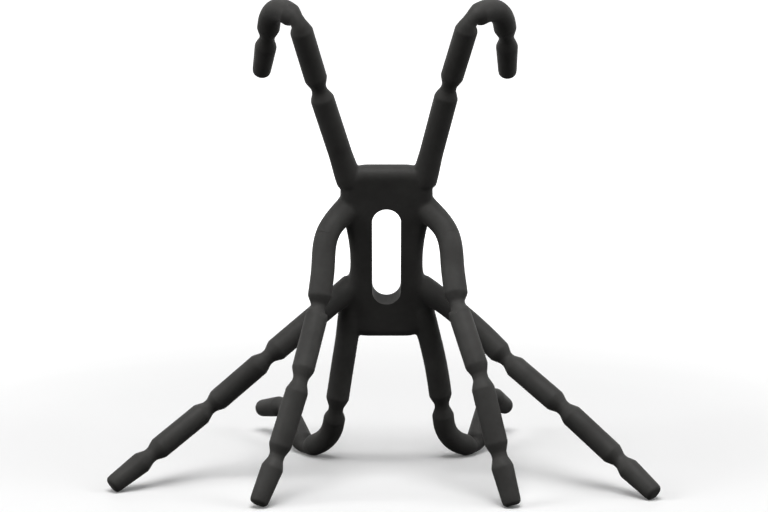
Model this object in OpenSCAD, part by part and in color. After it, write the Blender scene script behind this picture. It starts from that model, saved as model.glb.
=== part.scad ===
// Flexible grip stand: a soft body with eight bendable legs, posed as a stand
// Two upper legs hook over the top of what it holds, two lower legs hook under it,
// and the front and side legs prop it up on the table.

/* [Body] */
// Length of the body
body_len = 51.6; // [46:0.2:60]
// Width across the shoulders of the body
body_w = 25.5; // [24:0.1:30]
// Width of the waist
waist_w = 20.2; // [18.4:0.1:23]
// Thickness of the body
body_thick = 6.5; // [6:0.1:8]
// Length of the straight stretch at each end of the body
end_w = 11; // [6:0.5:13]
// Radius of the sides where they turn in to the waist, to the middle of the rounded edge
shoulder_turn = 8; // [4:0.5:12]
// Length of the straight stretch of a side at the top
top_side_len = 4; // [2:0.1:6]
// Length of the straight stretch of a side at the bottom
bottom_side_len = 2; // [1:0.1:4]
// Distance of the waist below the middle of the body
waist_drop = 3.3; // [0:0.1:6]
// Width of the slot through the body
slot_w = 8; // [5:0.1:9]
// Length of the slot
slot_len = 29; // [16:0.5:31]
// Distance of the slot below the middle of the body
slot_drop = 1.6; // [0:0.1:3]

/* [Legs] */
// Diameter of a leg along its thick lengths
leg_d = 6.1; // [5.4:0.1:6.4]
// Diameter of a leg at its necks
neck_d = 3.6; // [3:0.1:4]
// Distance from neck to neck
neck_pitch = 21.6; // [18:0.1:28]
// Distance of an upper leg's root from the top end of the body
upper_root_drop = 4.8; // [4:0.1:6]
// Distance of a front leg's root from the top end of the body
front_root_drop = 13.4; // [11:0.1:16]
// Distance of a side leg's root from the bottom end of the body
side_root_rise = 13.2; // [11:0.1:16]
// Distance of a lower leg's root from the bottom end of the body
lower_root_rise = 5.7; // [5:0.1:7]
// Depth inside the body's sides at which the roots start
root_depth = 2.25; // [2:0.05:3]
// How much farther in the lower legs' roots start
lower_root_inset = 0.5; // [0:0.1:1]
// Length of the root of an upper leg
upper_root_len = 28; // [24:0.5:36]
// Length of the root of a front leg
front_root_len = 31; // [28:0.5:36]
// Length of the root of a side leg
side_root_len = 31; // [26:0.5:36]
// Length of the root of a lower leg
lower_root_len = 28.8; // [24:0.1:36]
// Length of a tip
tip_len = 13.8; // [11:0.1:20]
// Diameter of a tip next to its shoulder
tip_d = 5.8; // [5:0.1:6]
// Diameter of a tip at its end
tip_end_d = 4.8; // [4:0.1:5]
// Rounding of the tip's end
tip_round = 1.2; // [0.4:0.1:1.6]
// Rounding of the shoulders beside a neck
shoulder_round = 1.5; // [0.6:0.1:2]
// Straight length between a neck and the bent part of a thick length
thick_end = 5; // [4.5:0.1:6]
// Most that a neck bends either way from straight
bend_max = 86; // [70:1:90]

/* [Wires] */
// Diameter of the wires
wire_d = 1.8; // [1:0.1:2]
// Radius of the wire's bend in a neck, to its middle
wire_turn = 2; // [1.5:0.1:2]
// Distance of the wire's end from the end of the tip
wire_end = 3; // [2:0.1:6]
// Length of the wire inside the body, before a leg's root starts
wire_anchor = 2; // [0:0.1:2.4]

/* [Fits] */
// Clearance between a neck's ball and its cup
cup_gap = 0.1; // [0.05:0.01:0.2]
// Clearance between a wire and its sleeve
wire_gap = 0.03; // [0.01:0.01:0.1]

/* [Stance] */
// Lean of the body's top toward the front
lean = 15.7; // [5:0.1:30]
// Height of the body's middle above the table
body_height = 63.76; // [55:0.02:80]
// Place of the body's middle over the footprint, across and from front to back
body_place = [1.24, -3.66]; // [-20:0.02:20]

/* [Upper left leg] */
// Aim of the root, clockwise from straight up, and its lift toward the front
upper_left_aim = [-16, 4]; // [-30:0.5:30]
// Bend of the first neck, to the leg's right and to the back
upper_left_neck_1 = [2, -6]; // [-40:0.5:40]
// Bend of the second neck
upper_left_neck_2 = [-45, 67]; // [-80:0.5:80]
// Bend along the outer thick length
upper_left_outer_bend = [-59, 55]; // [-60:0.5:60]
// Bend of the third neck
upper_left_neck_3 = [8, -2]; // [-40:0.5:40]

/* [Upper right leg] */
// Aim of the root and its lift toward the front
upper_right_aim = [13, 3]; // [-30:0.5:30]
// Bend of the first neck, to the leg's right and to the back
upper_right_neck_1 = [1, -8]; // [-40:0.5:40]
// Bend of the second neck
upper_right_neck_2 = [55, 59]; // [-80:0.5:80]
// Bend along the outer thick length
upper_right_outer_bend = [61, 46]; // [-62:0.5:62]
// Bend of the third neck
upper_right_neck_3 = [-3, 7]; // [-40:0.5:40]

/* [Front left leg] */
// Aim of the root and its lift toward the front
front_left_aim = [-130, 43]; // [-140:0.5:60]
// Bend along the root
front_left_root_bend = [-39, -3]; // [-50:0.5:50]
// Bend of the first neck
front_left_neck_1 = [18, -5]; // [-40:0.5:40]
// Bend of the second neck
front_left_neck_2 = [-4, 14]; // [-40:0.5:40]
// Bend of the third neck
front_left_neck_3 = [8, -6]; // [-40:0.5:40]

/* [Front right leg] */
// Aim of the root and its lift toward the front
front_right_aim = [128, 39]; // [-60:0.5:140]
// Bend along the root
front_right_root_bend = [36, -15]; // [-50:0.5:50]
// Bend of the first neck
front_right_neck_1 = [-16, 6]; // [-40:0.5:40]
// Bend of the second neck
front_right_neck_2 = [10, 9]; // [-40:0.5:40]
// Bend of the third neck
front_right_neck_3 = [-2, -1]; // [-40:0.5:40]

/* [Side left leg] */
// Aim of the root and its lift toward the front
side_left_aim = [-118, 37]; // [-140:0.5:60]
// Bend along the root
side_left_root_bend = [-3, 6]; // [-50:0.5:50]
// Bend of the first neck
side_left_neck_1 = [-10, 22]; // [-40:0.5:40]
// Bend of the second neck
side_left_neck_2 = [13, -26]; // [-40:0.5:40]
// Bend of the third neck
side_left_neck_3 = [0, 3]; // [-40:0.5:40]

/* [Side right leg] */
// Aim of the root and its lift toward the front
side_right_aim = [118, 22]; // [-60:0.5:140]
// Bend along the root
side_right_root_bend = [10, -6]; // [-50:0.5:50]
// Bend of the first neck
side_right_neck_1 = [-10, -11]; // [-40:0.5:40]
// Bend of the second neck
side_right_neck_2 = [5, 6]; // [-40:0.5:40]
// Bend of the third neck
side_right_neck_3 = [-4, -11]; // [-40:0.5:40]

/* [Lower left leg] */
// Aim of the root and its lift toward the front
lower_left_aim = [-171, 8]; // [-180:0.5:60]
// Bend along the root
lower_left_root_bend = [0, -8]; // [-50:0.5:50]
// Bend of the first neck
lower_left_neck_1 = [-1, 29]; // [-40:0.5:40]
// Bend along the middle thick length
lower_left_mid_bend = [37, 20]; // [-60:0.5:60]
// Bend of the second neck
lower_left_neck_2 = [6, 54]; // [-80:0.5:80]
// Bend of the third neck
lower_left_neck_3 = [-9, -38]; // [-60:0.5:60]

/* [Lower right leg] */
// Aim of the root and its lift toward the front
lower_right_aim = [163, 4]; // [-60:0.5:180]
// Bend along the root
lower_right_root_bend = [9, -4]; // [-50:0.5:50]
// Bend of the first neck
lower_right_neck_1 = [2, 9]; // [-40:0.5:40]
// Bend along the middle thick length
lower_right_mid_bend = [-47, 29]; // [-60:0.5:60]
// Bend of the second neck
lower_right_neck_2 = [-13, 63]; // [-80:0.5:80]
// Bend of the third neck
lower_right_neck_3 = [40, -44]; // [-60:0.5:60]

/* [Hidden] */
$fn = 48;

rubber = "#2b2a29";
steel = "#9a9da0";

leg_r = leg_d / 2;
neck_r = neck_d / 2;
wire_r = wire_d / 2;
edge_r = body_thick / 2;

// An arc or a ball that runs on from a straight bar is this much slimmer and laps into it this far
seat = 0.02;
lap = 0.2;
// The flat faces lie a hair below the crown of the rounded edge
face_sink = 0.1;
plate_thick = body_thick - 2 * face_sink;
// Middle line of the rounded edge: a straight end, a quarter turn, a straight side,
// a turn in, and the hollow of the waist
corner_x = body_w / 2 - edge_r;
waist_x = waist_w / 2 - edge_r;
end_x = end_w / 2;
end_y = body_len / 2 - edge_r;
corner_turn = corner_x - end_x;
side_y = end_y - corner_turn;
turn_x = corner_x - shoulder_turn;
// Radius of the waist's hollow above or below its middle, and the angle that the side turns in
function hollow(drop) =
    (pow(waist_x - turn_x, 2) + drop * drop - pow(shoulder_turn, 2)) / 2 / (corner_x - waist_x);
function turn_in(drop) = asin(drop / (hollow(drop) + shoulder_turn));
// Points along that line from the middle of the waist to the end of the quarter turn
function half_line(straight_len, drop) = [
    [waist_x, 0],
    hollow_point(drop, turn_in(drop) / 2),
    hollow_point(drop, turn_in(drop)),
    [corner_x, drop], [corner_x, drop + straight_len],
    [end_x + corner_turn * cos(45), drop + straight_len + corner_turn * sin(45)],
    [end_x, drop + straight_len + corner_turn]
];
function hollow_point(drop, angle) =
    [waist_x + hollow(drop) * (1 - cos(angle)), hollow(drop) * sin(angle)];
function flip(points, sides) = [for (p = points) [p.x * sides.x, p.y * sides.y]];
function backward(points) = [for (i = [len(points) - 1 : -1 : 0]) points[i]];
top_drop = side_y - top_side_len + waist_drop;
bottom_drop = side_y - bottom_side_len - waist_drop;

// A root runs straight out of the body, bends, and ends straight at its first neck
root_lead = 2;
root_tail = 6;
// A leg's root starts inside the rounded edge
start_x = body_w / 2 - root_depth;
upper_start = [start_x, body_len / 2 - upper_root_drop];
front_start = [start_x, body_len / 2 - front_root_drop];
side_start = [start_x, side_root_rise - body_len / 2];
lower_start = [start_x - lower_root_inset, lower_root_rise - body_len / 2];

// Half angle of the cone that both sides of a neck stay inside, so that they never meet
neck_cone = (180 - bend_max) / 2 - 1;
shoulder_x = leg_r - shoulder_round;
shoulder_z = (shoulder_round + shoulder_x * cos(neck_cone)) / sin(neck_cone);

straight = [0, 0];

// A leg is its start, its aim and lift, its root's length,
// the bends of its root, middle and outer length, and the bends of its three necks
upper_left = [[-upper_start.x, upper_start.y], upper_left_aim, upper_root_len,
    [straight, straight, upper_left_outer_bend],
    [upper_left_neck_1, upper_left_neck_2, upper_left_neck_3]];
upper_right = [upper_start, upper_right_aim, upper_root_len,
    [straight, straight, upper_right_outer_bend],
    [upper_right_neck_1, upper_right_neck_2, upper_right_neck_3]];
front_left = [[-front_start.x, front_start.y], front_left_aim, front_root_len,
    [front_left_root_bend, straight, straight],
    [front_left_neck_1, front_left_neck_2, front_left_neck_3]];
front_right = [front_start, front_right_aim, front_root_len,
    [front_right_root_bend, straight, straight],
    [front_right_neck_1, front_right_neck_2, front_right_neck_3]];
side_left = [[-side_start.x, side_start.y], side_left_aim, side_root_len,
    [side_left_root_bend, straight, straight],
    [side_left_neck_1, side_left_neck_2, side_left_neck_3]];
side_right = [side_start, side_right_aim, side_root_len,
    [side_right_root_bend, straight, straight],
    [side_right_neck_1, side_right_neck_2, side_right_neck_3]];
lower_left = [[-lower_start.x, lower_start.y], lower_left_aim, lower_root_len,
    [lower_left_root_bend, lower_left_mid_bend, straight],
    [lower_left_neck_1, lower_left_neck_2, lower_left_neck_3]];
lower_right = [lower_start, lower_right_aim, lower_root_len,
    [lower_right_root_bend, lower_right_mid_bend, straight],
    [lower_right_neck_1, lower_right_neck_2, lower_right_neck_3]];
legs = [upper_left, upper_right, front_left, front_right, side_left, side_right, lower_left, lower_right];

// The lengths of a leg, counted 0 root, 1 middle, 2 outer and 3 tip
function length_of(leg, n) = n == 0 ? leg[2] : n == 3 ? tip_len : neck_pitch;
function lead_of(n) = n == 0 ? root_lead : thick_end;
function tail_of(n) = n == 0 ? root_tail : thick_end;
function bend_of(leg, n) = n == 3 ? straight : leg[3][n];
function arc_of(leg, n) = length_of(leg, n) - lead_of(n) - tail_of(n);
function neck_bend(leg, n) = leg[4][n - 1];
// Radius of an arc of the given length that turns by the given angle
function turn_r(arc, angle) = arc / angle * 180 / PI;
// How far the wire's bend in a neck reaches along the leg
function wire_reach(bend) = wire_turn * tan(norm(bend) / 2);

// Turns what follows by a bend, given as degrees to the leg's right and to its back
module turned(bend) {
    rotate(a = norm(bend), v = [-bend.y, bend.x, 0]) children();
}

// Moves what follows to the end of an arc that starts here along z
module past_arc(arc, bend) {
    if (norm(bend) == 0) translate([0, 0, arc]) children();
    else {
        r = turn_r(arc, norm(bend));
        side = atan2(bend.y, bend.x);
        rotate([0, 0, side]) translate([r, 0, 0]) rotate([0, norm(bend), 0])
            translate([-r, 0, 0]) rotate([0, 0, -side]) children();
    }
}

// A round bar along that arc, lapping into straight bars of the given radius at either end
module arc_bar(arc, bend, bar_r) {
    r = turn_r(arc, norm(bend));
    over = lap / r * 180 / PI;
    rotate([0, 0, atan2(bend.y, bend.x)]) translate([r, 0, 0]) rotate(a = 180, v = [0, 1, 1])
        rotate([0, 0, -over]) rotate_extrude(angle = norm(bend) + 2 * over)
            translate([r, 0]) circle(r = bar_r - seat);
}

// A bar along a straight or bent length
module length_bar(arc, bend, bar_r) {
    if (norm(bend) == 0) cylinder(r = bar_r, h = arc);
    else arc_bar(arc, bend, bar_r);
}

// Moves what follows to the start of a leg's length
module at_length(leg, n) {
    if (n == 0) translate([leg[0].x, leg[0].y, 0]) rotate([leg[1][1] - 90, 0, -leg[1][0]]) children();
    else at_length(leg, n - 1) past_length(leg, n - 1) turned(neck_bend(leg, n)) children();
}

module past_length(leg, n) {
    translate([0, 0, lead_of(n)]) past_arc(arc_of(leg, n), bend_of(leg, n))
        translate([0, 0, tail_of(n)]) children();
}

// Stands the body's plane up at its lean
module standing() {
    translate([body_place.x, body_place.y, body_height]) rotate([90 + lean, 0, 0]) children();
}

// Half outline of a length's end beside a neck, from the neck's middle to the height given
module shoulder_outline(height, r) {
    x = r - shoulder_round;
    z = (shoulder_round + x * cos(neck_cone)) / sin(neck_cone);
    polygon([
        [0, 0],
        [x + shoulder_round * cos(neck_cone), z - shoulder_round * sin(neck_cone)],
        [x, z], [0, z]
    ]);
    intersection() {
        translate([x, z]) circle(r = shoulder_round);
        translate([0, z - shoulder_round]) square([r, 2 * shoulder_round]);
    }
    translate([0, z]) square([r, height - z]);
}

// The end that is turned to the body, hollowed to sit over the ball
module cup_end(height) {
    rotate_extrude() difference() {
        shoulder_outline(height, leg_r);
        circle(r = neck_r + cup_gap);
    }
}

// The end that is turned to the tip, with the ball that the neck bends about
module ball_end(height) {
    rotate([180, 0, 0]) rotate_extrude() intersection() {
        union() {
            shoulder_outline(height, leg_r);
            circle(r = neck_r);
        }
        translate([0, -neck_r]) square([leg_r, height + neck_r]);
    }
}

// A thick length between two necks
module thick_length(leg, n) {
    bend = bend_of(leg, n);
    color(rubber) standing() at_length(leg, n) difference() {
        if (norm(bend) == 0) {
            cup_end(neck_pitch / 2);
            translate([0, 0, neck_pitch]) ball_end(neck_pitch / 2);
        } else {
            cup_end(thick_end);
            translate([0, 0, thick_end]) arc_bar(arc_of(leg, n), bend, leg_r);
            past_length(leg, n) ball_end(thick_end);
        }
        length_bore(leg, n);
    }
}

// A tip tapers from its shoulder to a softly rounded end
module tip(leg) {
    foot_r = tip_end_d / 2 - tip_round;
    color(rubber) standing() at_length(leg, 3) difference() {
        rotate_extrude() difference() {
            union() {
                shoulder_outline(shoulder_z + 0.4, tip_d / 2);
                polygon([
                    [0, shoulder_z], [tip_d / 2, shoulder_z + 0.4],
                    [tip_end_d / 2, tip_len - tip_round], [foot_r, tip_len - tip_round],
                    [foot_r, tip_len], [0, tip_len]
                ]);
                translate([foot_r, tip_len - tip_round]) circle(r = tip_round);
            }
            circle(r = neck_r + cup_gap);
        }
        length_bore(leg, 3);
    }
}

// The root that leaves the body, up to its first neck
module root(leg) {
    at_length(leg, 0) {
        cylinder(r = leg_r, h = root_lead);
        translate([0, 0, root_lead]) length_bar(arc_of(leg, 0), bend_of(leg, 0), leg_r);
        past_length(leg, 0) ball_end(root_tail);
    }
}

// The wire through one length of a leg, with its bend in the neck that follows
module length_wire(leg, n, r) {
    bend = bend_of(leg, n);
    near = n == 0 ? -wire_anchor : wire_reach(neck_bend(leg, n));
    far = n == 3 ? wire_end : wire_reach(neck_bend(leg, n + 1));
    if (norm(bend) == 0)
        translate([0, 0, near]) cylinder(r = r, h = length_of(leg, n) - near - far);
    else {
        translate([0, 0, near]) cylinder(r = r, h = lead_of(n) - near);
        translate([0, 0, lead_of(n)]) arc_bar(arc_of(leg, n), bend, r);
        past_length(leg, n) translate([0, 0, -tail_of(n)]) cylinder(r = r, h = tail_of(n) - far);
    }
    if (n < 3) past_length(leg, n)
        translate([0, 0, -far]) arc_bar(wire_turn * norm(neck_bend(leg, n + 1)) * PI / 180,
            neck_bend(leg, n + 1), r);
}

// The bore for the wire in one length of a leg, out through the ball at its far end
module length_bore(leg, n) {
    r = wire_r + wire_gap;
    length_wire(leg, n, r);
    if (n < 3) past_length(leg, n) turned(neck_bend(leg, n + 1)) {
        near = wire_reach(neck_bend(leg, n + 1));
        translate([0, 0, near]) cylinder(r = r, h = neck_r + 1 - near);
    }
}

// A round bar between two points
module bar_between(from, to, r) {
    way = to - from;
    translate(from) rotate([0, acos(way.z / norm(way)), atan2(way.y, way.x)])
        cylinder(r = r, h = norm(way));
}

// A wire runs through each leg, from its anchor in the body to just before the end of the tip
module wire(leg) {
    color(steel) standing() for (n = [0 : 3]) at_length(leg, n) length_wire(leg, n, wire_r);
}

// An arc of the rounded edge, about a middle, from one angle on, lapping at both ends
module edge_arc(middle, r, from, angle, slimmer) {
    over = lap / r * 180 / PI;
    translate([middle.x, middle.y, 0]) rotate([0, 0, from - over])
        rotate_extrude(angle = angle + 2 * over) translate([r, 0]) circle(r = edge_r - slimmer);
}

// One quarter of the rounded edge, from the middle of the waist upward
module quarter_edge(straight_len, drop, slimmer) {
    angle = turn_in(drop);
    edge_arc([waist_x + hollow(drop), 0], hollow(drop), 180 - angle, angle, slimmer);
    edge_arc([turn_x, drop], shoulder_turn, -angle, angle, seat);
    bar_between([corner_x, drop, 0], [corner_x, drop + straight_len, 0], edge_r);
    edge_arc([end_x, drop + straight_len], corner_turn, 0, 90, seat);
}

module edges() {
    translate([0, -waist_drop, 0]) for (side = [0, 1]) mirror([side, 0, 0]) {
        quarter_edge(top_side_len, top_drop, 2 * seat);
        mirror([0, 1, 0]) quarter_edge(bottom_side_len, bottom_drop, 3 * seat);
    }
    for (end = [-1, 1]) bar_between([-end_x, end * end_y, 0], [end_x, end * end_y, 0], edge_r);
}

// The flat plate between the rounded edges
module plate() {
    top = half_line(top_side_len, top_drop);
    bottom = half_line(bottom_side_len, bottom_drop);
    translate([0, -waist_drop, 0]) linear_extrude(height = plate_thick, center = true) polygon(concat(
        top, backward(flip(top, [-1, 1])), flip(bottom, [-1, -1]), backward(flip(bottom, [1, -1]))
    ));
}

// The slot through the body, with round ends
module slot() {
    reach = (slot_len - slot_w) / 2;
    translate([0, -slot_drop, 0]) linear_extrude(height = body_thick + 2, center = true) {
        square([slot_w, 2 * reach], center = true);
        for (end = [-1, 1]) translate([0, end * reach]) circle(r = slot_w / 2);
    }
}

module body() {
    color(rubber) standing() difference() {
        union() {
            plate();
            edges();
            for (leg = legs) root(leg);
        }
        slot();
        for (leg = legs) at_length(leg, 0) length_bore(leg, 0);
    }
}

module upper_left_mid() { thick_length(upper_left, 1); }
module upper_left_outer() { thick_length(upper_left, 2); }
module upper_left_tip() { tip(upper_left); }
module upper_right_mid() { thick_length(upper_right, 1); }
module upper_right_outer() { thick_length(upper_right, 2); }
module upper_right_tip() { tip(upper_right); }
module front_left_mid() { thick_length(front_left, 1); }
module front_left_outer() { thick_length(front_left, 2); }
module front_left_tip() { tip(front_left); }
module front_right_mid() { thick_length(front_right, 1); }
module front_right_outer() { thick_length(front_right, 2); }
module front_right_tip() { tip(front_right); }
module side_left_mid() { thick_length(side_left, 1); }
module side_left_outer() { thick_length(side_left, 2); }
module side_left_tip() { tip(side_left); }
module side_right_mid() { thick_length(side_right, 1); }
module side_right_outer() { thick_length(side_right, 2); }
module side_right_tip() { tip(side_right); }
module lower_left_mid() { thick_length(lower_left, 1); }
module lower_left_outer() { thick_length(lower_left, 2); }
module lower_left_tip() { tip(lower_left); }
module lower_right_mid() { thick_length(lower_right, 1); }
module lower_right_outer() { thick_length(lower_right, 2); }
module lower_right_tip() { tip(lower_right); }
module upper_left_wire() { wire(upper_left); }
module upper_right_wire() { wire(upper_right); }
module front_left_wire() { wire(front_left); }
module front_right_wire() { wire(front_right); }
module side_left_wire() { wire(side_left); }
module side_right_wire() { wire(side_right); }
module lower_left_wire() { wire(lower_left); }
module lower_right_wire() { wire(lower_right); }

body();
upper_left_mid();
upper_left_outer();
upper_left_tip();
upper_right_mid();
upper_right_outer();
upper_right_tip();
front_left_mid();
front_left_outer();
front_left_tip();
front_right_mid();
front_right_outer();
front_right_tip();
side_left_mid();
side_left_outer();
side_left_tip();
side_right_mid();
side_right_outer();
side_right_tip();
lower_left_mid();
lower_left_outer();
lower_left_tip();
lower_right_mid();
lower_right_outer();
lower_right_tip();
upper_left_wire();
upper_right_wire();
front_left_wire();
front_right_wire();
side_left_wire();
side_right_wire();
lower_left_wire();
lower_right_wire();
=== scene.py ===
import bpy, bmesh, math
from mathutils import Matrix, Vector


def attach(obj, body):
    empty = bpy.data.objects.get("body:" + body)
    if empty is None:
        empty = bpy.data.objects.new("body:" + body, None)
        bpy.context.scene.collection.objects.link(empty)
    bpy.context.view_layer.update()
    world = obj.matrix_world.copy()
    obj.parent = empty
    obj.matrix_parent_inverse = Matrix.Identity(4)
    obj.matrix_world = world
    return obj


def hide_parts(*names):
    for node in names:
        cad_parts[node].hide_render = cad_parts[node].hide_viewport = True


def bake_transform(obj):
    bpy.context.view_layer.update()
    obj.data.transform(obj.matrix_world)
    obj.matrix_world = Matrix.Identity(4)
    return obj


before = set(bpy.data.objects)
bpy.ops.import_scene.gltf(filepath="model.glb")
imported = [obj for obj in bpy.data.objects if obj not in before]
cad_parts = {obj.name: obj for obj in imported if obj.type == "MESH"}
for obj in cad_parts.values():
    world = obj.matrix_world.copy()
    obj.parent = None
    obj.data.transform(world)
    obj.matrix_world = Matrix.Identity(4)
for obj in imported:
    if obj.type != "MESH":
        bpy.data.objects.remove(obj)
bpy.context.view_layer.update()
print("frame loaded")

# all sizes in millimetres, turned to metres when a mesh is made
mm = 0.001

# how the stand is posed: lean of its body and the bends of each leg, right and back, in degrees
standPose = {"lean": 15.7, "place": (1.24, -3.66, 63.76)}
legLine = {"neckPitch": 21.6, "tipLength": 13.8, "thickEnd": 5.0, "rootLead": 2.0, "rootTail": 6.0,
           "neckReach": 2.5, "blendExtra": 0.3, "hubCut": 11.0, "straightSteps": 24, "neckSteps": 16}
legPoses = {
    "upper_left": {"start": (-10.5, 21.0), "aim": (-16, 4), "root": 28.0,
                   "bends": [(0, 0), (0, 0), (-59, 55)], "necks": [(2, -6), (-45, 67), (8, -2)]},
    "upper_right": {"start": (10.5, 21.0), "aim": (13, 3), "root": 28.0,
                    "bends": [(0, 0), (0, 0), (61, 46)], "necks": [(1, -8), (55, 59), (-3, 7)]},
    "front_left": {"start": (-10.5, 12.4), "aim": (-130, 43), "root": 31.0, "bow": 1.1,
                   "bends": [(-39, -3), (0, 0), (0, 0)], "necks": [(18, -5), (-4, 14), (8, -6)]},
    "front_right": {"start": (10.5, 12.4), "aim": (128, 39), "root": 31.0, "bow": -1.1,
                    "bends": [(36, -15), (0, 0), (0, 0)], "necks": [(-16, 6), (10, 9), (-2, -1)]},
    "side_left": {"start": (-10.5, -12.6), "aim": (-118, 37), "root": 31.0,
                  "bends": [(-3, 6), (0, 0), (0, 0)], "necks": [(-10, 22), (13, -26), (0, 3)]},
    "side_right": {"start": (10.5, -12.6), "aim": (118, 22), "root": 31.0,
                   "bends": [(10, -6), (0, 0), (0, 0)], "necks": [(-10, -11), (5, 6), (-4, -11)]},
    "lower_left": {"start": (-10.0, -20.1), "aim": (-171, 8), "root": 28.8,
                   "bends": [(0, -8), (37, 20), (0, 0)], "necks": [(-1, 29), (6, 54), (-9, -38)]},
    "lower_right": {"start": (10.0, -20.1), "aim": (163, 4), "root": 28.8,
                    "bends": [(9, -4), (-47, 29), (0, 0)], "necks": [(2, 9), (-13, 63), (40, -44)]},
}


def turn(bend):
    angle = math.hypot(*bend)
    if angle == 0:
        return Matrix()
    return Matrix.Rotation(math.radians(angle), 4, Vector((-bend[1], bend[0], 0)))


def alongArc(length, bend, distance):
    # the frame at a distance along an arc that bends by so much over its length
    angle = math.radians(math.hypot(*bend))
    if angle == 0:
        return Matrix.Translation((0, 0, distance))
    radius = length / angle
    part = angle * distance / length
    side = Vector((bend[0], bend[1], 0)).normalized()
    move = side * radius * (1 - math.cos(part)) + Vector((0, 0, radius * math.sin(part)))
    return Matrix.Translation(move) @ turn((bend[0] * part / angle, bend[1] * part / angle))


def lengthOf(leg, number):
    return leg["root"] if number == 0 else legLine["neckPitch"]


def alongLength(leg, number, distance):
    # the frame at a distance along one of the leg's four lengths: root, middle, outer, tip
    if number == 3:
        return Matrix.Translation((0, 0, distance))
    lead = legLine["rootLead"] if number == 0 else legLine["thickEnd"]
    tail = legLine["rootTail"] if number == 0 else legLine["thickEnd"]
    whole = lengthOf(leg, number)
    bent = whole - lead - tail
    if distance <= lead:
        return Matrix.Translation((0, 0, distance))
    part = min(distance - lead, bent)
    frameHere = Matrix.Translation((0, 0, lead)) @ alongArc(bent, leg["bends"][number], part)
    if distance > lead + bent:
        frameHere = frameHere @ Matrix.Translation((0, 0, distance - lead - bent))
    if number == 0 and "bow" in leg:
        # a front root swells outward near the pad and runs straighter above its neck
        along = math.pi * distance / whole
        slope = 2 * math.cos(2 * along) * math.sin(along) + math.sin(2 * along) * math.cos(along)
        swell = leg["bow"] * math.sin(2 * along) * math.sin(along)
        frameHere = frameHere @ Matrix.Translation((swell, 0, 0))
        frameHere = frameHere @ Matrix.Rotation(leg["bow"] * slope * math.pi / whole, 4, "Y")
    return frameHere


def lengthStarts(leg):
    stand = Matrix.Translation(standPose["place"])
    stand = stand @ Matrix.Rotation(math.radians(90 + standPose["lean"]), 4, "X")
    aim, lift = leg["aim"]
    start = stand @ Matrix.Translation((*leg["start"], 0)) @ Matrix.Rotation(math.radians(-aim), 4, "Z")
    start = start @ Matrix.Rotation(math.radians(lift - 90), 4, "X")
    starts = [start]
    for number in range(3):
        start = start @ alongLength(leg, number, lengthOf(leg, number)) @ turn(leg["necks"][number])
        starts.append(start)
    return starts


def pathPoints(leg, number, fromCut, toCut):
    # middle line from one length across its neck into the next, bent softly through the neck
    starts = lengthStarts(leg)
    whole = lengthOf(leg, number - 1)
    bend = leg["necks"][number - 1]
    angle = math.radians(math.hypot(*bend))
    reach = legLine["neckReach"]
    points = []
    steps = legLine["straightSteps"]
    arcSteps = legLine["neckSteps"]
    for step in range(steps):
        at = fromCut + (whole - reach - fromCut) * step / steps
        points.append((starts[number - 1] @ alongLength(leg, number - 1, at)).translation)
    before = starts[number - 1] @ alongLength(leg, number - 1, whole - reach)
    arcLength = 2 * reach if angle == 0 else reach / math.tan(angle / 2) * angle
    for step in range(arcSteps + 1):
        points.append((before @ alongArc(arcLength, bend, arcLength * step / arcSteps)).translation)
    for step in range(1, steps + 1):
        at = reach + (toCut - reach) * step / steps
        points.append((starts[number] @ alongLength(leg, number, at)).translation)
    return [p * mm for p in points]


def neckEnds(leg, number):
    # where a skin starts and stops bending round its neck
    starts = lengthStarts(leg)
    pivot = starts[number].translation
    whole = lengthOf(leg, number - 1)
    into = (starts[number - 1] @ alongLength(leg, number - 1, whole)).to_3x3() @ Vector((0, 0, 1))
    out = starts[number].to_3x3() @ Vector((0, 0, 1))
    reach = legLine["neckReach"] + legLine["blendExtra"]
    return (pivot - into * reach) * mm, (pivot + out * reach) * mm


def deselectAll():
    if bpy.context.object and bpy.context.object.mode != "OBJECT":
        bpy.ops.object.mode_set(mode="OBJECT")
    bpy.ops.object.select_all(action="DESELECT")


def pick(piece):
    deselectAll()
    piece.select_set(True)
    bpy.context.view_layer.objects.active = piece


def copyOf(piece, name):
    twin = piece.copy()
    twin.data = piece.data.copy()
    twin.name = name
    bpy.context.collection.objects.link(twin)
    return twin


def applyModifiers(piece):
    pick(piece)
    for modifier in list(piece.modifiers):
        bpy.ops.object.modifier_apply(modifier=modifier.name)


# a straight length of leg, drawn ring by ring from a circle and closed at both ends
def ringModel(name, rings, sides):
    deselectAll()
    firstAt, firstR = rings[0]
    bpy.ops.mesh.primitive_circle_add(vertices=sides, radius=firstR * mm, location=(0, 0, firstAt * mm))
    model = bpy.context.object
    model.name = name
    bpy.ops.object.transform_apply(location=True, rotation=True, scale=True)
    bpy.ops.object.mode_set(mode="EDIT")
    bpy.ops.mesh.select_all(action="SELECT")
    bpy.ops.mesh.edge_face_add()
    bpy.ops.mesh.select_all(action="SELECT")
    lastR = firstR
    lastAt = firstAt
    for at, radius in rings[1:]:
        bpy.ops.mesh.extrude_region_move(TRANSFORM_OT_translate={"value": (0, 0, (at - lastAt) * mm)})
        grow = radius / lastR
        bpy.ops.transform.resize(value=(grow, grow, 1), center_override=(0, 0, at * mm))
        lastR = radius
        lastAt = at
    bpy.ops.mesh.select_all(action="SELECT")
    bpy.ops.mesh.normals_make_consistent(inside=False)
    bpy.ops.object.mode_set(mode="OBJECT")
    return model


# the neck's hollow and its soft shoulders, as the radius at a distance from the neck's middle
neckShape = {"thick": 3.1, "rootThick": 3.25, "thin": 2.1, "hollow": 3.4, "crisp": 0.55,
             "flat": 0.7, "slopeTrim": 0.9}
ringSteps = {"fine": 0.3, "coarse": 0.8, "tip": 0.7, "fineReach": 4.2, "sides": 48}


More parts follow.
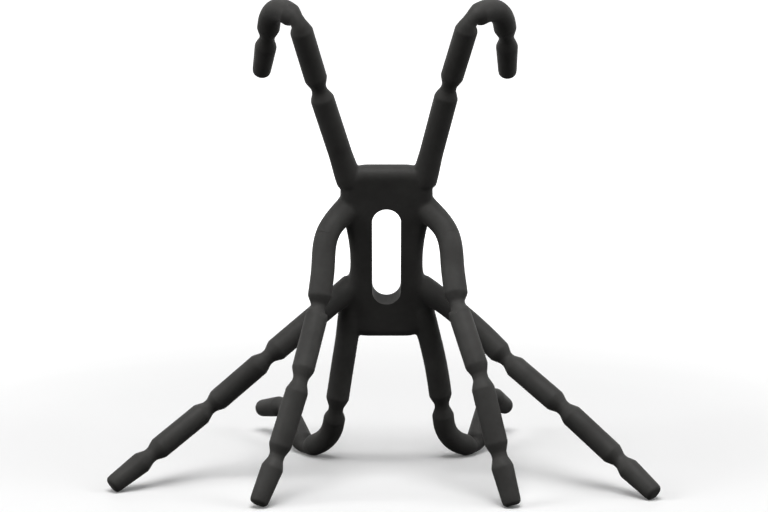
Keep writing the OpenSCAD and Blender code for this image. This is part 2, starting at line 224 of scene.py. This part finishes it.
def neckRadius(away, thick):
    shape = neckShape
    t = min(abs(away) / shape["hollow"], 1)
    soft = t * t * (3 - 2 * t)
    straight = min(1, max(0, (abs(away) - shape["flat"]) / (shape["hollow"] - shape["slopeTrim"])))
    mix = shape["crisp"] * straight + (1 - shape["crisp"]) * soft
    return shape["thin"] + (thick - shape["thin"]) * mix


def neckRings(before, after, thickBefore):
    # rings from one length across its neck into the next
    rings = []
    at = -before
    while at < after - 0.01:
        rings.append((at, neckRadius(at, thickBefore if at < 0 else neckShape["thick"])))
        at += ringSteps["fine"] if abs(at) < ringSteps["fineReach"] else ringSteps["coarse"]
    rings.append((after, neckShape["thick"]))
    return rings


tipShape = {"shoulder": 3.0, "end": 2.5, "round": 1.1, "roundSteps": 8, "taperFrom": 3.6,
            "crown": 0.02, "crownRadius": 0.6}


def tipRings(before):
    # from the outer length across the third neck to the rounded flat end
    shape = tipShape
    length = legLine["tipLength"]
    rings = [ring for ring in neckRings(before, 4.0, neckShape["thick"]) if ring[0] < 0]
    at = 0.0
    while at < length - shape["round"]:
        narrowing = max(0, at - shape["taperFrom"]) / (length - shape["taperFrom"])
        rings.append((at, neckRadius(at, shape["shoulder"] + (shape["end"] - shape["shoulder"]) * narrowing)))
        at += ringSteps["fine"] if at < ringSteps["fineReach"] else ringSteps["tip"]
    for step in range(shape["roundSteps"] + 1):
        a = math.radians(90 * step / shape["roundSteps"])
        rings.append((length - shape["round"] + shape["round"] * math.sin(a),
                      shape["end"] - shape["round"] + shape["round"] * math.cos(a)))
    rings.append((length + shape["crown"], shape["crownRadius"]))
    return rings


def bentAlong(piece, points):
    # a curve modifier lays the straight piece along the leg's own line
    deselectAll()
    line = bpy.data.curves.new("legLine", "CURVE")
    line.dimensions = "3D"
    line.use_deform_bounds = True
    line.use_stretch = True
    spline = line.splines.new("POLY")
    spline.points.add(len(points) - 1)
    for spot, point in zip(spline.points, points):
        spot.co = (*point, 1)
    guide = bpy.data.objects.new("legLine", line)
    bpy.context.collection.objects.link(guide)
    modifier = piece.modifiers.new("Bend", "CURVE")
    modifier.object = guide
    modifier.deform_axis = "POS_Z"
    applyModifiers(piece)
    bpy.data.objects.remove(guide)


def finishSmooth(piece, angle=38):
    pick(piece)
    bpy.ops.object.shade_smooth_by_angle(angle=math.radians(angle))


def namedMaterial(name):
    material = bpy.data.materials.new(name)
    material.use_nodes = True
    nodes = material.node_tree.nodes
    nodes.clear()
    output = nodes.new("ShaderNodeOutputMaterial")
    shader = nodes.new("ShaderNodeBsdfPrincipled")
    material.node_tree.links.new(shader.outputs["BSDF"], output.inputs["Surface"])
    return material, nodes, material.node_tree.links, shader


# soft black rubber: fine moulded grain, cloudy bloom and a dusty sheen
rubberLook = {"dark": (0.034, 0.033, 0.0315, 1), "light": (0.052, 0.051, 0.0485, 1), "roughness": 0.6,
              "grain": 5200, "cloud": 90, "uneven": 0.06, "bump": 0.25, "bumpDepth": 0.00006,
              "specular": 0.2, "sheen": 0.06, "sheenRoughness": 0.45, "sheenTint": (0.75, 0.75, 0.72, 1)}


def rubberMaterial():
    look = rubberLook
    material, nodes, links, shader = namedMaterial("softRubber")
    place = nodes.new("ShaderNodeTexCoord")
    cloud = nodes.new("ShaderNodeTexNoise")
    cloud.inputs["Scale"].default_value = look["cloud"]
    cloud.inputs["Detail"].default_value = 6
    cloud.inputs["Roughness"].default_value = 0.6
    links.new(place.outputs["Object"], cloud.inputs["Vector"])
    ramp = nodes.new("ShaderNodeValToRGB")
    ramp.color_ramp.elements[0].position = 0.32
    ramp.color_ramp.elements[0].color = look["dark"]
    ramp.color_ramp.elements[1].position = 0.72
    ramp.color_ramp.elements[1].color = look["light"]
    links.new(cloud.outputs["Fac"], ramp.inputs["Fac"])
    links.new(ramp.outputs["Color"], shader.inputs["Base Color"])
    rough = nodes.new("ShaderNodeMapRange")
    rough.inputs["From Min"].default_value = 0.3
    rough.inputs["From Max"].default_value = 0.7
    rough.inputs["To Min"].default_value = look["roughness"] + look["uneven"]
    rough.inputs["To Max"].default_value = look["roughness"] - look["uneven"]
    links.new(cloud.outputs["Fac"], rough.inputs["Value"])
    links.new(rough.outputs["Result"], shader.inputs["Roughness"])
    grain = nodes.new("ShaderNodeTexNoise")
    grain.inputs["Scale"].default_value = look["grain"]
    grain.inputs["Detail"].default_value = 3
    links.new(place.outputs["Object"], grain.inputs["Vector"])
    bump = nodes.new("ShaderNodeBump")
    bump.inputs["Strength"].default_value = look["bump"]
    bump.inputs["Distance"].default_value = look["bumpDepth"]
    links.new(grain.outputs["Fac"], bump.inputs["Height"])
    links.new(bump.outputs["Normal"], shader.inputs["Normal"])
    shader.inputs["Specular IOR Level"].default_value = look["specular"]
    shader.inputs["Sheen Weight"].default_value = look["sheen"]
    shader.inputs["Sheen Roughness"].default_value = look["sheenRoughness"]
    shader.inputs["Sheen Tint"].default_value = look["sheenTint"]
    return material


# the bendable wire inside each leg, and its bright drawn metal
wireShape = {"radius": 0.9, "sides": 12, "ringStep": 0.5, "rings": 60, "tipGap": 3, "inBody": 2}
wireLook = {"dark": (0.36, 0.36, 0.37, 1), "light": (0.56, 0.56, 0.57, 1), "streak": 900, "roughness": 0.35}


def wireMaterial():
    look = wireLook
    material, nodes, links, shader = namedMaterial("drawnWire")
    place = nodes.new("ShaderNodeTexCoord")
    streak = nodes.new("ShaderNodeTexNoise")
    streak.inputs["Scale"].default_value = look["streak"]
    links.new(place.outputs["Object"], streak.inputs["Vector"])
    ramp = nodes.new("ShaderNodeValToRGB")
    ramp.color_ramp.elements[0].color = look["dark"]
    ramp.color_ramp.elements[1].color = look["light"]
    links.new(streak.outputs["Fac"], ramp.inputs["Fac"])
    links.new(ramp.outputs["Color"], shader.inputs["Base Color"])
    shader.inputs["Metallic"].default_value = 1
    shader.inputs["Roughness"].default_value = look["roughness"]
    return material


rubber = rubberMaterial()
wireMetal = wireMaterial()


def dress(piece, material):
    piece.data.materials.clear()
    piece.data.materials.append(material)


# the pad: waisted outline with rounded edges and a slot right through
padShape = {"width": 25.5, "length": 51.6, "waist": 20.2, "thick": 6.5, "endWidth": 11.0,
            "waistDrop": 3.3, "drop": 1.15, "shoulderTurn": 8.0, "topSide": 4.0, "bottomSide": 2.0,
            "edge": 2.7, "edgeSteps": 8,
            "slotWidth": 8.0, "slotLength": 29.0, "slotDrop": 1.6, "slotSteps": 12}
# how the roots melt into the pad: how deep each starts, how far it runs past its cut, and its flare
meltShape = {"inside": 1.5, "past": 4.0, "flare": 0.35, "flareReach": 5.5, "voxel": 0.36,
             "relax": 0.5, "relaxPasses": 12}


def padOutline():
    shape = padShape
    halfWidth, halfWaist = shape["width"] / 2, shape["waist"] / 2
    edge = shape["thick"] / 2
    cornerR = halfWidth - shape["endWidth"] / 2
    turnR = shape["shoulderTurn"] + edge
    turnX = halfWidth - turnR
    sideY = shape["length"] / 2 - cornerR

    def quarter(straight, drop):
        hollow = ((halfWaist - turnX) ** 2 + drop ** 2 - turnR ** 2) / 2 / (halfWidth - halfWaist)
        swing = math.asin(drop / (hollow + turnR))
        points = [(halfWaist + hollow * (1 - math.cos(swing * i / 8)), hollow * math.sin(swing * i / 8))
                  for i in range(8)]
        points += [(turnX + turnR * math.cos(swing * (i / 5 - 1)),
                    drop + turnR * math.sin(swing * (i / 5 - 1))) for i in range(6)]
        points += [(halfWidth, drop + straight * 0.5)]
        cornerX = halfWidth - cornerR
        points += [(cornerX + cornerR * math.cos(math.radians(9 * i)),
                    drop + straight + cornerR * math.sin(math.radians(9 * i))) for i in range(11)]
        return points

    top = quarter(shape["topSide"], sideY - shape["topSide"] + shape["waistDrop"])
    bottom = quarter(shape["bottomSide"], sideY - shape["bottomSide"] - shape["waistDrop"])
    right = [(x, -y) for x, y in reversed(bottom[1:])] + top
    left = [(-x, y) for x, y in reversed(right)]
    return [(x, y - shape["waistDrop"] - shape["drop"]) for x, y in right + left]


def hubPiece():
    # the pad and the first stretch of every root, melted into one soft moulding
    shape = padShape
    deselectAll()
    outline = padOutline()
    bpy.ops.mesh.primitive_circle_add(vertices=len(outline), radius=0.02)
    pad = bpy.context.object
    pad.name = "padAndRoots"
    for vertex, (x, y) in zip(pad.data.vertices, outline):
        vertex.co = (x * mm, y * mm, -shape["thick"] / 2 * mm)
    bpy.ops.object.mode_set(mode="EDIT")
    bpy.ops.mesh.select_all(action="SELECT")
    bpy.ops.mesh.edge_face_add()
    bpy.ops.mesh.select_all(action="SELECT")
    bpy.ops.mesh.extrude_region_move(TRANSFORM_OT_translate={"value": (0, 0, shape["thick"] * mm)})
    bpy.ops.mesh.select_all(action="SELECT")
    bpy.ops.mesh.normals_make_consistent(inside=False)
    bpy.ops.object.mode_set(mode="OBJECT")
    soft = pad.modifiers.new("Edge", "BEVEL")
    soft.width = shape["edge"] * mm
    soft.segments = shape["edgeSteps"]
    soft.limit_method = "ANGLE"
    soft.angle_limit = math.radians(60)
    applyModifiers(pad)
    # the slot's cutter: a rounded bar through the pad, its ends just short of meeting
    bpy.ops.mesh.primitive_cube_add(size=1, location=(0, -shape["slotDrop"] * mm, 0))
    cutter = bpy.context.object
    cutter.scale = (shape["slotWidth"] * mm, shape["slotLength"] * mm, shape["thick"] * 2 * mm)
    bpy.ops.object.transform_apply(location=True, rotation=True, scale=True)
    ends = cutter.modifiers.new("Ends", "BEVEL")
    ends.width = shape["slotWidth"] * 0.4995 * mm
    ends.segments = shape["slotSteps"]
    ends.limit_method = "WEIGHT"
    weights = cutter.data.attributes.new("bevel_weight_edge", "FLOAT", "EDGE")
    for edge in cutter.data.edges:
        a, b = [cutter.data.vertices[i].co for i in edge.vertices]
        weights.data[edge.index].value = 1.0 if abs(a.z - b.z) > shape["thick"] * mm else 0.0
    applyModifiers(cutter)
    stand = Matrix.Translation(Vector(standPose["place"]) * mm)
    stand = stand @ Matrix.Rotation(math.radians(90 + standPose["lean"]), 4, "X")
    pad.data.transform(stand)
    cutter.data.transform(stand)
    parts = [pad]
    span = legLine["hubCut"] + meltShape["past"]
    for name, leg in legPoses.items():
        start = lengthStarts(leg)[0]
        points = [(start @ alongLength(leg, 0, -meltShape["inside"] + i * span / 20)).translation * mm
                  for i in range(21)]
        rings = []
        for i in range(31):
            at = -meltShape["inside"] + i * span / 30
            flare = meltShape["flare"] * math.exp(-(max(at, 0) / meltShape["flareReach"]) ** 2)
            rings.append((at, neckShape["rootThick"] + flare))
        root = ringModel(name + "Root", rings, ringSteps["sides"])
        bentAlong(root, points)
        parts.append(root)
    deselectAll()
    for part in parts:
        part.select_set(True)
    bpy.context.view_layer.objects.active = pad
    bpy.ops.object.join()
    melt = pad.modifiers.new("Melt", "REMESH")
    melt.mode = "VOXEL"
    melt.voxel_size = meltShape["voxel"] * mm
    applyModifiers(pad)
    relax = pad.modifiers.new("Relax", "SMOOTH")
    relax.factor = meltShape["relax"]
    relax.iterations = meltShape["relaxPasses"]
    applyModifiers(pad)
    through = pad.modifiers.new("Slot", "BOOLEAN")
    through.operation = "DIFFERENCE"
    through.object = cutter
    through.solver = "EXACT"
    applyModifiers(pad)
    bpy.data.objects.remove(cutter)
    return pad


# where the melted root is made round again, measured along it and out from its middle line
roundShape = {"from": 5.0, "step": 0.15, "stations": 60, "near": 7, "inner": 1.5, "outer": 4.2,
              "starts": 6.5, "fade": 3.0}


def trueRoots(hub):
    # near each cut the melted root gets the leg's exact round section back
    shape = roundShape
    for leg in legPoses.values():
        start = lengthStarts(leg)[0]
        stations = []
        for i in range(shape["stations"]):
            at = shape["from"] + i * shape["step"]
            here = start @ alongLength(leg, 0, at)
            stations.append((at, here.translation * mm, here.to_3x3() @ Vector((0, 0, 1))))
        centre = stations[shape["stations"] // 2][1]
        for vertex in hub.data.vertices:
            if (vertex.co - centre).length > shape["near"] * mm:
                continue
            nearest = min(stations, key=lambda s: (vertex.co - s[1]).length_squared)
            at, middle, heading = nearest
            away = vertex.co - middle
            away -= heading * away.dot(heading)
            if away.length > shape["outer"] * mm or away.length < shape["inner"] * mm or at < shape["starts"]:
                continue
            share = min(1, (at - shape["starts"]) / shape["fade"])
            vertex.co += away.normalized() * (neckShape["rootThick"] * mm - away.length) * share


# how far round a root's cut faces are split, and how far past it they are taken off
cutShape = {"split": 5.2, "clear": 7.5, "hair": 2e-7}


def cutRoots(hub):
    # each root ends in a flat cut, where the leg's own skin goes on
    pick(hub)
    for leg in legPoses.values():
        cut = lengthStarts(leg)[0] @ alongLength(leg, 0, legLine["hubCut"])
        point = cut.translation * mm
        heading = cut.to_3x3() @ Vector((0, 0, 1))
        shape = bmesh.new()
        shape.from_mesh(hub.data)
        near = [f for f in shape.faces if (f.calc_center_median() - point).length < cutShape["split"] * mm]
        edges = list({e for f in near for e in f.edges})
        verts = list({v for f in near for v in f.verts})
        bmesh.ops.bisect_plane(shape, geom=near + edges + verts, dist=1e-7,
                               plane_co=point, plane_no=heading)
        beyond = [v for v in shape.verts if (v.co - point).dot(heading) > cutShape["hair"]
                  and (v.co - point).length < cutShape["clear"] * mm]
        bmesh.ops.delete(shape, geom=beyond, context="VERTS")
        rim = [e for e in shape.edges if e.is_boundary]
        bmesh.ops.contextual_create(shape, geom=rim)
        shape.to_mesh(hub.data)
        shape.free()


print("modelling the pad and the roots")
hub = hubPiece()
trueRoots(hub)
cutRoots(hub)
finishSmooth(hub, 50)
dress(hub, rubber)
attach(hub, "frame")
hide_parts("body")

print("modelling the legs")
half = legLine["neckPitch"] / 2
neckModel = ringModel("neckModel", neckRings(half, half, neckShape["thick"]), ringSteps["sides"])
tipModel = ringModel("tipModel", tipRings(half), ringSteps["sides"])
rootModels = {}
wireRings = [(i * wireShape["ringStep"], wireShape["radius"]) for i in range(wireShape["rings"])]
wireModel = ringModel("wireModel", wireRings, wireShape["sides"])

for name, leg in legPoses.items():
    bodies = ["frame"] + [name + "_" + part for part in ("mid", "outer", "tip")]
    for number in (1, 2, 3):
        toCut = half if number < 3 else legLine["tipLength"]
        fromCut = legLine["hubCut"] if number == 1 else half
        points = pathPoints(leg, number, fromCut, toCut)
        if number == 1:
            before = leg["root"] - legLine["hubCut"]
            if before not in rootModels:
                rings = neckRings(before, half, neckShape["rootThick"])
                rootModels[before] = ringModel("rootModel", rings, ringSteps["sides"])
            skin = copyOf(rootModels[before], name + "Skin1")
        else:
            skin = copyOf(neckModel if number == 2 else tipModel, name + "Skin" + str(number))
        bentAlong(skin, points)
        finishSmooth(skin)
        dress(skin, rubber)
        start, end = neckEnds(leg, number)
        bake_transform(skin)
        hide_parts(bodies[number])
        # the wire inside, never seen, follows the same line
        if number == 3:
            points = pathPoints(leg, number, fromCut, toCut - wireShape["tipGap"])
        wire = copyOf(wireModel, name + "Wire" + str(number))
        bentAlong(wire, points)
        finishSmooth(wire)
        dress(wire, wireMetal)
        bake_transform(wire)
        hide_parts(name + "_wire")
    # the wire's first stretch stays in the body
    anchor = copyOf(wireModel, name + "Wire0")
    start = lengthStarts(leg)[0]
    points = [(start @ Matrix.Translation((0, 0, -wireShape["inBody"]))).translation * mm]
    points += [(start @ alongLength(leg, 0, legLine["hubCut"] * i / 10)).translation * mm for i in range(11)]
    bentAlong(anchor, points)
    finishSmooth(anchor)
    dress(anchor, wireMetal)
    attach(anchor, "frame")
    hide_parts(name + "_wire")
for model in [neckModel, tipModel, wireModel] + list(rootModels.values()):
    bpy.data.objects.remove(model)


print("floor, light and camera")
# a wide pale table top: near the stand it takes the light and the shadows, farther off it fades to white
floorShape = {"size": 9.0, "near": 0.09, "far": 0.5, "nearGlow": 0.03, "farGlow": 1.0, "bounce": 0.1,
              "dark": 0.84, "light": 0.87, "mottle": 6, "roughness": 0.6}
roomShape = {"behindFrom": 0.05, "behindTo": 0.5, "dim": 0.03, "bright": 1.0}


def seenDirectly(nodes, links, place):
    # 1 for what the camera sees, and for what a glossy or clear surface shows of the pale room behind,
    # 0 for the light that falls on the stand and for the dim room in front
    rays = nodes.new("ShaderNodeLightPath")
    clear = nodes.new("ShaderNodeMath")
    clear.operation = "MAXIMUM"
    links.new(rays.outputs["Is Glossy Ray"], clear.inputs[0])
    links.new(rays.outputs["Is Transmission Ray"], clear.inputs[1])
    parts = nodes.new("ShaderNodeSeparateXYZ")
    links.new(place, parts.inputs["Vector"])
    behind = nodes.new("ShaderNodeMapRange")
    behind.inputs["From Min"].default_value = roomShape["behindFrom"]
    behind.inputs["From Max"].default_value = roomShape["behindTo"]
    links.new(parts.outputs["Y"], behind.inputs["Value"])
    mirrored = nodes.new("ShaderNodeMath")
    mirrored.operation = "MULTIPLY"
    links.new(clear.outputs["Value"], mirrored.inputs[0])
    links.new(behind.outputs["Result"], mirrored.inputs[1])
    seen = nodes.new("ShaderNodeMath")
    seen.operation = "MAXIMUM"
    links.new(rays.outputs["Is Camera Ray"], seen.inputs[0])
    links.new(mirrored.outputs["Value"], seen.inputs[1])
    return seen.outputs["Value"]


def paleMaterial():
    shape = floorShape
    material, nodes, links, shader = namedMaterial("paleTable")
    place = nodes.new("ShaderNodeTexCoord")
    mottle = nodes.new("ShaderNodeTexNoise")
    mottle.inputs["Scale"].default_value = shape["mottle"]
    links.new(place.outputs["Object"], mottle.inputs["Vector"])
    ramp = nodes.new("ShaderNodeValToRGB")
    ramp.color_ramp.elements[0].color = (*[shape["dark"]] * 3, 1)
    ramp.color_ramp.elements[1].color = (*[shape["light"]] * 3, 1)
    links.new(mottle.outputs["Fac"], ramp.inputs["Fac"])
    seen = seenDirectly(nodes, links, place.outputs["Object"])
    tone = nodes.new("ShaderNodeMix")
    tone.data_type = "RGBA"
    tone.inputs["A"].default_value = (*[shape["bounce"]] * 3, 1)
    links.new(seen, tone.inputs["Factor"])
    links.new(ramp.outputs["Color"], tone.inputs["B"])
    links.new(tone.outputs["Result"], shader.inputs["Base Color"])
    away = nodes.new("ShaderNodeVectorMath")
    away.operation = "LENGTH"
    links.new(place.outputs["Object"], away.inputs[0])
    fade = nodes.new("ShaderNodeMapRange")
    fade.interpolation_type = "SMOOTHSTEP"
    fade.inputs["From Min"].default_value = shape["near"]
    fade.inputs["From Max"].default_value = shape["far"]
    fade.inputs["To Min"].default_value = shape["nearGlow"]
    fade.inputs["To Max"].default_value = shape["farGlow"]
    links.new(away.outputs["Value"], fade.inputs["Value"])
    glow = nodes.new("ShaderNodeMath")
    glow.operation = "MULTIPLY"
    links.new(fade.outputs["Result"], glow.inputs[0])
    links.new(seen, glow.inputs[1])
    shader.inputs["Emission Color"].default_value = (1, 1, 1, 1)
    links.new(glow.outputs["Value"], shader.inputs["Emission Strength"])
    shader.inputs["Roughness"].default_value = shape["roughness"]
    return material


def floorPiece():
    deselectAll()
    bpy.ops.mesh.primitive_plane_add(size=floorShape["size"], location=(0, 0, 0))
    floor = bpy.context.object
    floor.name = "tableTop"
    floor.data.materials.append(paleMaterial())
    return floor


floorPiece()

world = bpy.data.worlds.new("paleRoom")
bpy.context.scene.world = world
world.use_nodes = True
worldNodes = world.node_tree.nodes
worldNodes["Background"].inputs["Color"].default_value = (1, 1, 1, 1)
brightness = worldNodes.new("ShaderNodeMapRange")
brightness.inputs["To Min"].default_value = roomShape["dim"]
brightness.inputs["To Max"].default_value = roomShape["bright"]
worldLinks = world.node_tree.links
heading = worldNodes.new("ShaderNodeTexCoord")
seenRoom = seenDirectly(worldNodes, worldLinks, heading.outputs["Generated"])
worldLinks.new(seenRoom, brightness.inputs["Value"])
worldLinks.new(brightness.outputs["Result"], worldNodes["Background"].inputs["Strength"])

lampAim = (0, 0, 0.06)
lampPlan = [
    {"name": "topLamp", "at": (0.0, -0.42, 1.25), "size": 0.8, "power": 15.4},
    {"name": "leftLamp", "at": (-1.0, -0.35, 0.6), "size": 0.6, "power": 5.6},
    {"name": "rightLamp", "at": (1.0, -0.3, 0.6), "size": 0.6, "power": 4.2},
]
for plan in lampPlan:
    lampData = bpy.data.lights.new(plan["name"], "AREA")
    lampData.size = plan["size"]
    lampData.energy = plan["power"]
    lamp = bpy.data.objects.new(plan["name"], lampData)
    lamp.location = plan["at"]
    lamp.rotation_euler = (Vector(plan["at"]) - Vector(lampAim)).to_track_quat("Z", "Y").to_euler()
    bpy.context.collection.objects.link(lamp)

cameraPlan = {"at": (0.00055, -0.64142, 0.16236), "lens": 108.66, "down": 9.0}
cameraData = bpy.data.cameras.new("photoCamera")
cameraData.lens = cameraPlan["lens"]
cameraData.sensor_width = 36
camera = bpy.data.objects.new("photoCamera", cameraData)
camera.location = cameraPlan["at"]
camera.rotation_euler = (math.radians(90 - cameraPlan["down"]), 0, 0)
bpy.context.collection.objects.link(camera)
bpy.context.scene.camera = camera
bpy.context.scene.view_settings.view_transform = "Standard"

print("done")
